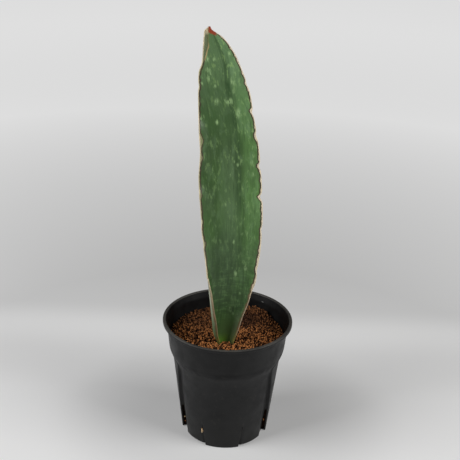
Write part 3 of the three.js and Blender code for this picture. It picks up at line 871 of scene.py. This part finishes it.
def make_loose_bits():
    """A pebble and three granules lodged in the drain slits, and a fleck on the inner wall."""
    looks = {"pale_pebble": pebble_look(), "baked_clay": clay_look(), "pale_fleck": fleck_look()}
    for seed, (name, look, angle, radius, height, half_sizes) in enumerate(LOOSE_BITS):
        turn = math.radians(angle)
        outwards = np.array([math.sin(turn), -math.cos(turn), 0])
        sideways = np.array([math.cos(turn), math.sin(turn), 0])
        shape = grain_shape(40 + seed)
        corners = np.array([vertex.co for vertex in shape.data.vertices])
        faces = [tuple(face.vertices) for face in shape.data.polygons]
        bpy.data.objects.remove(shape)
        along_wall, into_wall, upwards = (corners * half_sizes).T
        along_wall = along_wall * (1 - 0.7 * smooth_step(0, half_sizes[2], upwards))
        points = outwards * radius + np.outer(along_wall, sideways) + np.outer(into_wall, outwards)
        points[:, 2] = height + upwards
        bit = new_object(name, points, faces)
        away = np.hypot(along_wall / half_sizes[0], upwards / half_sizes[2])
        keep_values(bit, "tone", np.clip(1.2 - away, 0, 1))
        dress(bit, looks[look], "substrate", "substrate")


def pebble_look():
    """Pale tan in the middle, orange brown round its edge."""
    look = Look("pale_pebble", {"Specular IOR Level": 0.3, "Roughness": 0.7})
    stain = look.noise(look.place(), 900, 3)
    share = look.math("ADD", look.value("tone"), look.span(stain, 0.3, 0.7, -0.2, 0.2))
    colour = look.mix(linear(132, 84, 44), linear(226, 204, 164), look.span(share, 0.3, 0.7))
    return look.finish(colour, normal=look.bump(stain, 0.0003, 0.6))


def fleck_look():
    """Grey white, finely speckled."""
    look = Look("pale_fleck", {"Specular IOR Level": 0.2, "Roughness": 0.9})
    dust = look.noise(look.place(), 1100, 3)
    return look.finish(look.mix((0.10, 0.10, 0.10), (0.22, 0.22, 0.21), look.span(dust, 0.3, 0.7)))


def sum_of_bumps(bumps, height):
    """Sum of round bumps given as (height, reach, size)."""
    return sum(size * math.exp(-((height - at) / reach) ** 2) for at, reach, size in bumps)


def wave_at(wave, height):
    """How far a margin waves out of the blade at a height."""
    rising = smooth_step(LEAF_SOIL_LINE, LEAF_SOIL_LINE + WAVE_RISE, height)
    fading = 1 - smooth_step(LEAF_TIP - WAVE_FADE, LEAF_TIP, height)
    return wave["size"] * rising * fading * math.sin(math.tau * height / wave["length"] + wave["start"])


def leaf_half(height, side):
    """Half of the blade's section from midrib to margin: middle line, heading, half thickness,
    share of the width and distance to the margin."""
    left = side < 0
    notch = sum_of_bumps(LEFT_NOTCHES if left else RIGHT_NOTCHES, height)
    roll = sum_of_bumps(LEFT_ROLLS if left else RIGHT_ROLLS, height)
    curl = along(LEFT_CURL if left else RIGHT_CURL, height)
    edge = along(LEFT_EDGE if left else RIGHT_EDGE, height)
    midrib = along(MIDRIB, height)
    thick = along(MIDRIB_THICKNESS, height)
    count = LEAF_STEPS_PER_HALF * LEAF_FINE_STEPS

    def heading_at(share):
        outer = np.clip((share - ROLL_START) / (1 - ROLL_START), 0, None)
        return np.radians(curl * share + roll * outer)

    middles = heading_at((np.arange(count) + 0.5) / count)
    out = np.concatenate([[0], np.cumsum(np.cos(middles))]) / count
    front = np.concatenate([[0], np.cumsum(np.sin(middles))]) / count
    shares = np.arange(count + 1) / count
    headings = heading_at(shares)
    halves = (MARGIN_THICKNESS + (thick - MARGIN_THICKNESS) * (1 - shares**2)) / 2
    widest = int(np.argmax(out))
    rim = halves[-1]
    reach = (edge - midrib) * side - notch - rim * math.cos(headings[-1])
    width = (reach - halves[widest] * math.sin(headings[widest]) * (widest < count)) / out[widest]
    width = max(width, 0.3)
    wave = wave_at(LEFT_WAVE if left else RIGHT_WAVE, height)
    x = midrib + side * out * width
    y = along(LEAN, height) - front * width - wave * shares**2
    picked = slice(None, None, LEAF_FINE_STEPS)
    to_margin = (1 - shares) * width + rim
    return [a[picked] for a in (x, y, headings, halves, shares, to_margin)]


def leaf_ring(height):
    """One closed ring round the leaf. Seen from above it runs from the left rim over the front to
    the right rim and back. Gives its points, and for each its share across, its distance to the
    margin and 0 on the front or 1 on the back."""
    points = []
    values = []
    halves = {side: leaf_half(height, side) for side in (-1, 1)}

    def face_points(side, back, order):
        x, y, heading, half, share, margin = halves[side]
        for k in order(range(len(x))):
            turn = 1 if back else -1
            points.append((
                x[k] + turn * side * math.sin(heading[k]) * half[k],
                y[k] + turn * math.cos(heading[k]) * half[k],
                height,
            ))
            values.append((side * share[k], margin[k], back))

    def rim_points(side, angles):
        x, y, heading, half, _, margin = halves[side]
        for angle in angles:
            out = half[-1] * math.cos(math.radians(angle))
            forwards = half[-1] * math.sin(math.radians(angle))
            points.append((
                x[-1] + side * (math.cos(heading[-1]) * out - math.sin(heading[-1]) * forwards),
                y[-1] - math.sin(heading[-1]) * out - math.cos(heading[-1]) * forwards,
                height,
            ))
            values.append((side, margin[-1] - out, 0.5 - angle / 180))

    rim_points(-1, [a for a in reversed(RIM_ANGLES) if a >= 0])
    face_points(-1, 0, reversed)
    face_points(1, 0, lambda order: list(order)[1:])
    rim_points(1, RIM_ANGLES)
    face_points(1, 1, reversed)
    face_points(-1, 1, lambda order: list(order)[1:])
    rim_points(-1, [a for a in reversed(RIM_ANGLES) if a < 0])
    return np.array(points), np.array(values)


def make_leaf():
    """The leaf, in fine rings, with values for its markings."""
    count = int((LEAF_TIP - LEAF_FOOT) / LEAF_RING_STEP) + 1
    rings = [leaf_ring(z) for z in np.linspace(LEAF_FOOT, LEAF_TIP, count)]
    points = np.concatenate([ring[0] for ring in rings])
    across, to_margin, back = np.concatenate([ring[1] for ring in rings]).T
    around = len(rings[0][0])
    faces = ring_faces(count, around)
    top = (count - 1) * around
    faces.append(tuple(reversed(range(around))))
    faces.append(tuple(range(top, top + around)))
    leaf = new_object("leaf_blade", points, faces, 50)
    keep_values(leaf, "across", across)
    midribs = np.repeat([along(MIDRIB, ring[0][0, 2]) for ring in rings], around)
    keep_values(leaf, "beside_midrib", (points[:, 0] - midribs) * MM)
    keep_values(leaf, "to_margin", to_margin * MM)
    keep_values(leaf, "back", back)
    keep_values(leaf, "film", [film_width(*pair) * MM for pair in zip(across, points[:, 2])])
    keep_values(leaf, "pale", pale_marks(points))
    dress(leaf, leaf_look(), "leaf", "leaf")


# Where the dry film along a margin widens, as (height, reach, width)
LEFT_FILMS = [(409, 11, 4.6), (322, 4.5, 3.4), (303, 4, 1.6), (268, 3, 1.6), (219, 3, 0.8)]
RIGHT_FILMS = [
    (349, 2.5, 1.0), (324, 2.5, 1.2), (296, 3, 0.9), (266, 2.5, 1.6), (205, 22, 0.6),
    (174, 3.5, 1.3),
]


def film_width(across, height):
    """How far the dry film along a margin reaches past its usual width."""
    return sum_of_bumps(LEFT_FILMS if across < 0 else RIGHT_FILMS, height)


# Zones of pale blotches, on both faces of the leaf: many near the top, few further down. Places
# across the blade are shares from its left edge to its right one.
BLOTCH_ZONES = [
    {"heights": (332, 402), "across": (0.06, 0.94), "count": 19, "size": 1.5, "strength": 0.9},
    {"heights": (215, 300), "across": (0.2, 0.88), "count": 9, "size": 1.15, "strength": 0.65},
    {"heights": (140, 205), "across": (0.45, 0.85), "count": 5, "size": 1.2, "strength": 0.65},
]
BLOTCH_SPREAD = 0.4
BLOTCH_LENGTH = 2.2
BLOTCH_SEED = 5


def draw_blotches():
    """Each blotch as (x, height, half width, half height, strength)."""
    draw = random.Random(BLOTCH_SEED)
    blotches = []
    for zone in BLOTCH_ZONES:
        for _ in range(zone["count"]):
            height = draw.uniform(*zone["heights"])
            share = draw.uniform(*zone["across"])
            x = lerp(along(LEFT_EDGE, height), along(RIGHT_EDGE, height), share)
            half_width = zone["size"] * draw.uniform(1 - BLOTCH_SPREAD, 1 + BLOTCH_SPREAD)
            half_height = half_width * BLOTCH_LENGTH * draw.uniform(1 - BLOTCH_SPREAD, 1)
            strength = zone["strength"] * draw.uniform(0.8, 1.1)
            blotches.append((x, height, half_width, half_height, strength))
    return blotches


def pale_marks(points):
    """How strongly each point of the leaf lies in a pale blotch."""
    total = np.zeros(len(points))
    for x, height, half_width, half_height, strength in draw_blotches():
        away = ((points[:, 0] - x) / half_width) ** 2 + ((points[:, 2] - height) / half_height) ** 2
        total += strength * np.exp(-away)
    return np.clip(total, 0, 1)


def leaf_look():
    """Waxy green with streaks, broken blotches and cross bands, and a horny brown margin line
    inside a dry cream film."""
    look = Look("leaf_skin", {"Specular IOR Level": 0.36, "Coat Weight": 0.06, "Coat Roughness": 0.35})
    where = look.place()
    side, depth, height = [look.axis(where, letter) for letter in "XYZ"]
    across = look.value("across")
    beside_midrib = look.value("beside_midrib")
    grown = look.add("ShaderNodeCombineXYZ", {"X": beside_midrib, "Y": depth, "Z": height})
    times = look.times

    def grain(scale, detail=3.0, roughness=0.6, distortion=0.0):
        return look.noise(look.stretch(grown, scale), 1, detail, roughness, distortion)

    hairlines = grain((800, 800, 45))
    streaks = grain((420, 420, 30), 4)
    flecks = grain((430, 430, 130))
    splashes = grain((600, 600, 150))
    mottling = grain((150, 150, 62), 4, 0.6, 0.6)
    bands = grain((95, 95, 340), 4, 0.65, 0.4)
    broad = grain((26, 26, 14), 2, 0.5)
    colour = look.mix(linear(54, 86, 40), linear(72, 110, 52), look.span(broad, 0.35, 0.65))
    # Lighter over the right half above the base, broken by the mottling: painted light.
    right = times(look.span(across, 0.24, 0.5), look.span(height, 0.17, 0.27))
    colour = look.mix(colour, linear(100, 144, 78), times(right, look.span(mottling, 0.35, 0.6, 0.55, 0.9)))
    # Paler and greyer towards the tip: painted sheen.
    colour = look.mix(colour, linear(108, 144, 98), look.span(height, 0.31, 0.41, 0.0, 0.85))
    # A grey-green band along the midrib: painted sheen.
    middle = look.span(look.math("ABSOLUTE", look.math("ADD", across, 0.12)), 0.05, 0.45, 0.7, 0.0)
    middle = times(middle, times(look.span(height, 0.16, 0.23), look.span(height, 0.29, 0.34, 1.0, 0.3)))
    colour = look.mix(colour, linear(94, 126, 84), middle)
    sheen = look.span(mottling, 0.46, 0.66, 0.0, 0.45)
    colour = look.mix(colour, linear(114, 148, 106), times(sheen, look.span(height, 0.20, 0.34, 0.4, 1.0)))
    # A darker band just right of the midrib: painted shade.
    beside = times(look.span(across, -0.02, 0.1), look.span(across, 0.2, 0.3, 1.0, 0.0))
    beside = times(beside, look.span(height, 0.22, 0.29))
    colour = look.mix(colour, linear(50, 84, 42), times(beside, look.span(mottling, 0.3, 0.55, 0.9, 0.55)))
    colour = look.mix(colour, linear(44, 74, 34), look.span(streaks, 0.5, 0.72, 0.0, 0.45))
    colour = look.mix(colour, linear(50, 76, 40), look.span(hairlines, 0.5, 0.7, 0.0, 0.3))
    colour = look.mix(colour, linear(110, 148, 88), look.span(hairlines, 0.5, 0.3, 0.0, 0.22))
    fleck_share = times(look.span(flecks, 0.53, 0.64), look.span(mottling, 0.4, 0.56))
    fleck_share = times(fleck_share, look.span(height, 0.2, 0.36, 0.35, 0.9))
    fleck_share = times(fleck_share, look.span(across, -0.1, 0.4, 0.7, 1.0))
    colour = look.mix(colour, linear(138, 176, 110), fleck_share)

    # Darker over the left half and the midrib between 300 and 385 mm: painted shade.
    painted_shade_high = times(look.span(height, 0.30, 0.34), look.span(height, 0.355, 0.385, 1.0, 0.0))
    colour = look.mix(colour, linear(56, 90, 46), times(painted_shade_high, look.span(across, 0.1, 0.5, 0.4, 0.0)))
    # Darker and yellower, more so higher up, and twice as strongly on the left as on the right: the extra
    # on the left is painted shade.
    tone_and_left_shade = times(look.span(height, 0.12, 0.30, 0.3, 1.0), look.span(across, 0.0, 0.5, 1.0, 0.5))
    colour = look.mix(colour, (0.78, 0.77, 0.72), tone_and_left_shade, "MULTIPLY")
    lower = look.span(height, 0.15, 0.25, 1.0, 0.0)
    shade = times(lower, look.span(across, -0.7, 0.6, 0.55, 0.1))
    shade = times(shade, look.span(height, 0.115, 0.16, 0.1, 1.0))
    colour = look.mix(colour, linear(36, 54, 28), shade)
    torn = look.math("ADD", times(bands, 0.6), times(streaks, 0.4))
    colour = look.mix(colour, linear(40, 62, 30), times(look.span(torn, 0.48, 0.58, 0.0, 0.5), lower))
    colour = look.mix(colour, linear(98, 134, 78), times(look.span(torn, 0.47, 0.39, 0.0, 0.55), lower))
    grit = look.math("ADD", times(splashes, 0.65), times(hairlines, 0.35))
    broken = times(look.value("pale"), look.span(grit, 0.42, 0.56, 0.05, 1.3))
    colour = look.mix(colour, linear(156, 190, 130), look.span(broken, 0.08, 0.9, 0.0, 0.85, smooth=False))
    foot = look.span(height, 0.125, 0.15, 1.0, 0.0)
    # Lighter over the foot, most in the middle of its channel: painted light against the shade there.
    channel_painted_light = look.span(look.math("ABSOLUTE", across), 0.1, 0.6, 0.9, 0.2)
    colour = look.mix(colour, linear(94, 124, 74), times(foot, channel_painted_light))
    colour = look.mix(colour, linear(112, 128, 92), times(foot, look.span(across, 0.25, 0.75, 0.0, 0.8)))
    yellow = look.span(height, 0.111, 0.122, 0.8, 0.0)
    colour = look.mix(colour, linear(96, 138, 44), times(yellow, look.span(across, -0.1, 0.2, 1.0, 0.3)))
    # The flank darkens just above the soil: painted shade.
    flank_colour = look.mix(linear(52, 58, 38), linear(112, 130, 98), look.span(height, 0.112, 0.124))
    flank_colour = look.mix(flank_colour, linear(182, 188, 166), look.span(height, 0.124, 0.165))
    flank = times(look.value("back"), look.span(height, 0.18, 0.23, 0.8, 0.1))
    flank = times(flank, look.span(look.value("to_margin"), 0.004, 0.011, 1.0, 0.2))
    colour = look.mix(colour, flank_colour, times(flank, look.span(streaks, 0.3, 0.6, 0.75, 1.0)))

    left = look.span(across, -0.1, 0.1, 1.0, 0.0)
    at_tip = times(look.span(height, 0.392, 0.398), left)
    upper = look.span(height, 0.15, 0.19)
    waver = look.span(look.noise(look.place((90, 90, 260)), 1, 3), 0.3, 0.7, -0.0005, 0.0005)
    inward = look.math("ADD", look.math("SUBTRACT", look.value("to_margin"), look.value("film")), waver)
    line = times(look.span(inward, 0.0016, 0.0025, 1.0, 0.0), look.span(upper, 0.0, 1.0, 0.6, 0.95))
    line_colour = look.mix(linear(118, 86, 56), linear(62, 44, 30), upper)
    tan_line = look.mix(linear(184, 162, 112), linear(112, 120, 78), look.span(height, 0.406, 0.411))
    line_colour = look.mix(line_colour, tan_line, at_tip)
    at_foot = look.span(height, 0.113, 0.128, 1.0, 0.0)
    line_colour = look.mix(line_colour, linear(138, 134, 72), at_foot)
    colour = look.mix(colour, line_colour, line)
    dry = look.mix(linear(226, 212, 182), linear(136, 138, 98), left)
    dry = look.mix(linear(122, 92, 60), dry, upper)
    dry = look.mix(dry, linear(96, 108, 72), at_tip)
    dry = look.mix(dry, linear(146, 140, 76), at_foot)
    dry = look.mix(dry, linear(96, 74, 48), look.span(flecks, 0.5, 0.65, 0.0, 0.3))
    colour = look.mix(colour, dry, look.span(inward, 0.0006, 0.0010, 1.0, 0.0))
    rim = look.span(look.value("to_margin"), 0.0003, 0.0006, 1.0, 0.0)
    rim = times(rim, look.span(flecks, 0.3, 0.6, 1.0, 0.6))
    rim = times(rim, look.math("MAXIMUM", upper, look.span(left, 0.0, 1.0, 0.8, 0.35)))
    colour = look.mix(colour, look.mix(linear(224, 208, 178), linear(148, 144, 82), at_foot), rim)
    # A cream patch at the top left of the tip: partly the cream edge, partly a painted highlight.
    cream = times(look.span(height, 0.4165, 0.4185), look.span(side, -0.0262, -0.0240, 1.0, 0.0))
    colour = look.mix(colour, linear(206, 190, 156), times(cream, look.span(flecks, 0.35, 0.6, 1.0, 0.4)))
    slant = look.math("ADD", height, times(side, 0.4))
    red = times(look.span(slant, 0.4082, 0.4096), look.span(side, -0.0262, -0.0240))
    red = times(red, look.span(side, -0.0190, -0.0170, 1.0, 0.0))
    colour = look.mix(colour, linear(150, 62, 36), red)

    rough = look.span(streaks, 0.3, 0.7, 0.36, 0.5)
    relief = look.math("ADD", times(hairlines, 0.5), times(mottling, 0.5))
    return look.finish(colour, rough, look.bump(relief, 0.0003, 0.35))


def make_stage():
    """A wide pale floor, seen from all sides. Its far parts glow like a lit studio's."""
    half_width = 20000.0
    corners = [(side * half_width, end * half_width, 0.0) for end in (-1, 1) for side in (-1, 1)]
    floor = new_object("studio_floor", corners, [(0, 1, 3, 2)])
    look = Look("studio_paper", {"Roughness": 0.9, "Specular IOR Level": 0.1})
    where = look.place()
    depth = look.axis(where, "Y")
    away = look.add("ShaderNodeVectorMath", {0: where}, "Value", operation="LENGTH")
    # The paper darkens beyond 200 mm behind the middle: painted shade.
    tone = look.span(depth, 0.200, 0.262, 0.70, 0.55)
    # A darker band 50 to 195 mm behind the middle: the pot's painted shadow on the floor.
    behind = look.times(look.span(depth, 0.05, 0.12), look.span(depth, 0.135, 0.195, 1.0, 0.0))
    tone = look.math("SUBTRACT", tone, look.times(behind, 0.07))
    cloud = look.span(look.noise(where, 1.2, 2), 0.3, 0.7, -0.01, 0.01)
    tone = look.math("ADD", tone, cloud)
    paper = look.add("ShaderNodeCombineColor", {"Red": tone, "Green": tone, "Blue": tone})
    far_glow = look.math(
        "ADD", look.span(away, 0.37, 1.05, 0.0, 0.41, smooth=False), look.span(away, 1.0, 1.8, 0.0, 0.09)
    )
    far_glow = look.times(far_glow, look.span(depth, -1.2, 0.3, 0.25, 1.0))
    near_glow = look.span(away, 0.08, 0.2, 0.08, 0.18)
    glow = look.math("ADD", near_glow, far_glow)
    look.tree.links.new(glow, look.shader.inputs["Emission Strength"])
    look.shader.inputs["Emission Color"].default_value = (1.0, 1.0, 1.0, 1.0)
    floor.data.materials.append(look.finish(paper))


def soft_box(name, place, aim, size, power, colour):
    """A rectangular area light at a place, aimed at a point, in millimetres."""
    data = bpy.data.lights.new(name, "AREA")
    data.shape = "RECTANGLE"
    data.size, data.size_y = (s * MM for s in size)
    data.energy = power
    data.color = colour
    lamp = bpy.data.objects.new(name, data)
    lamp.location = Vector(place) * MM
    lamp.rotation_euler = (Vector(aim) - Vector(place)).to_track_quat("-Z", "Y").to_euler()
    bpy.context.collection.objects.link(lamp)


# Soft boxes as (name, place, size, power, colour), in millimetres and watts
SOFT_BOXES = [
    ("left_box", (-900, -350, 800), (700, 900), 10.3, (1.0, 1.0, 1.0)),
    ("right_box", (900, -350, 800), (700, 900), 9.3, (1.0, 0.995, 0.985)),
]
AIR_STRENGTH = 0.02
LIGHTS_AIM = (0, 0, 180)


def make_lights():
    """Soft boxes at the sides and above, and a little light from all round."""
    for name, place, size, power, colour in SOFT_BOXES:
        soft_box(name, place, LIGHTS_AIM, size, power, colour)
    world = bpy.data.worlds.new("studio_air")
    world.use_nodes = True
    air = world.node_tree.nodes["Background"].inputs
    air["Color"].default_value = (1.0, 1.0, 1.0, 1.0)
    air["Strength"].default_value = AIR_STRENGTH
    bpy.context.scene.world = world
    bpy.context.scene.view_settings.view_transform = "Standard"


place_camera()
make_stage()
make_lights()
make_pot()
make_bed()
make_granules()
make_loose_bits()
make_leaf()
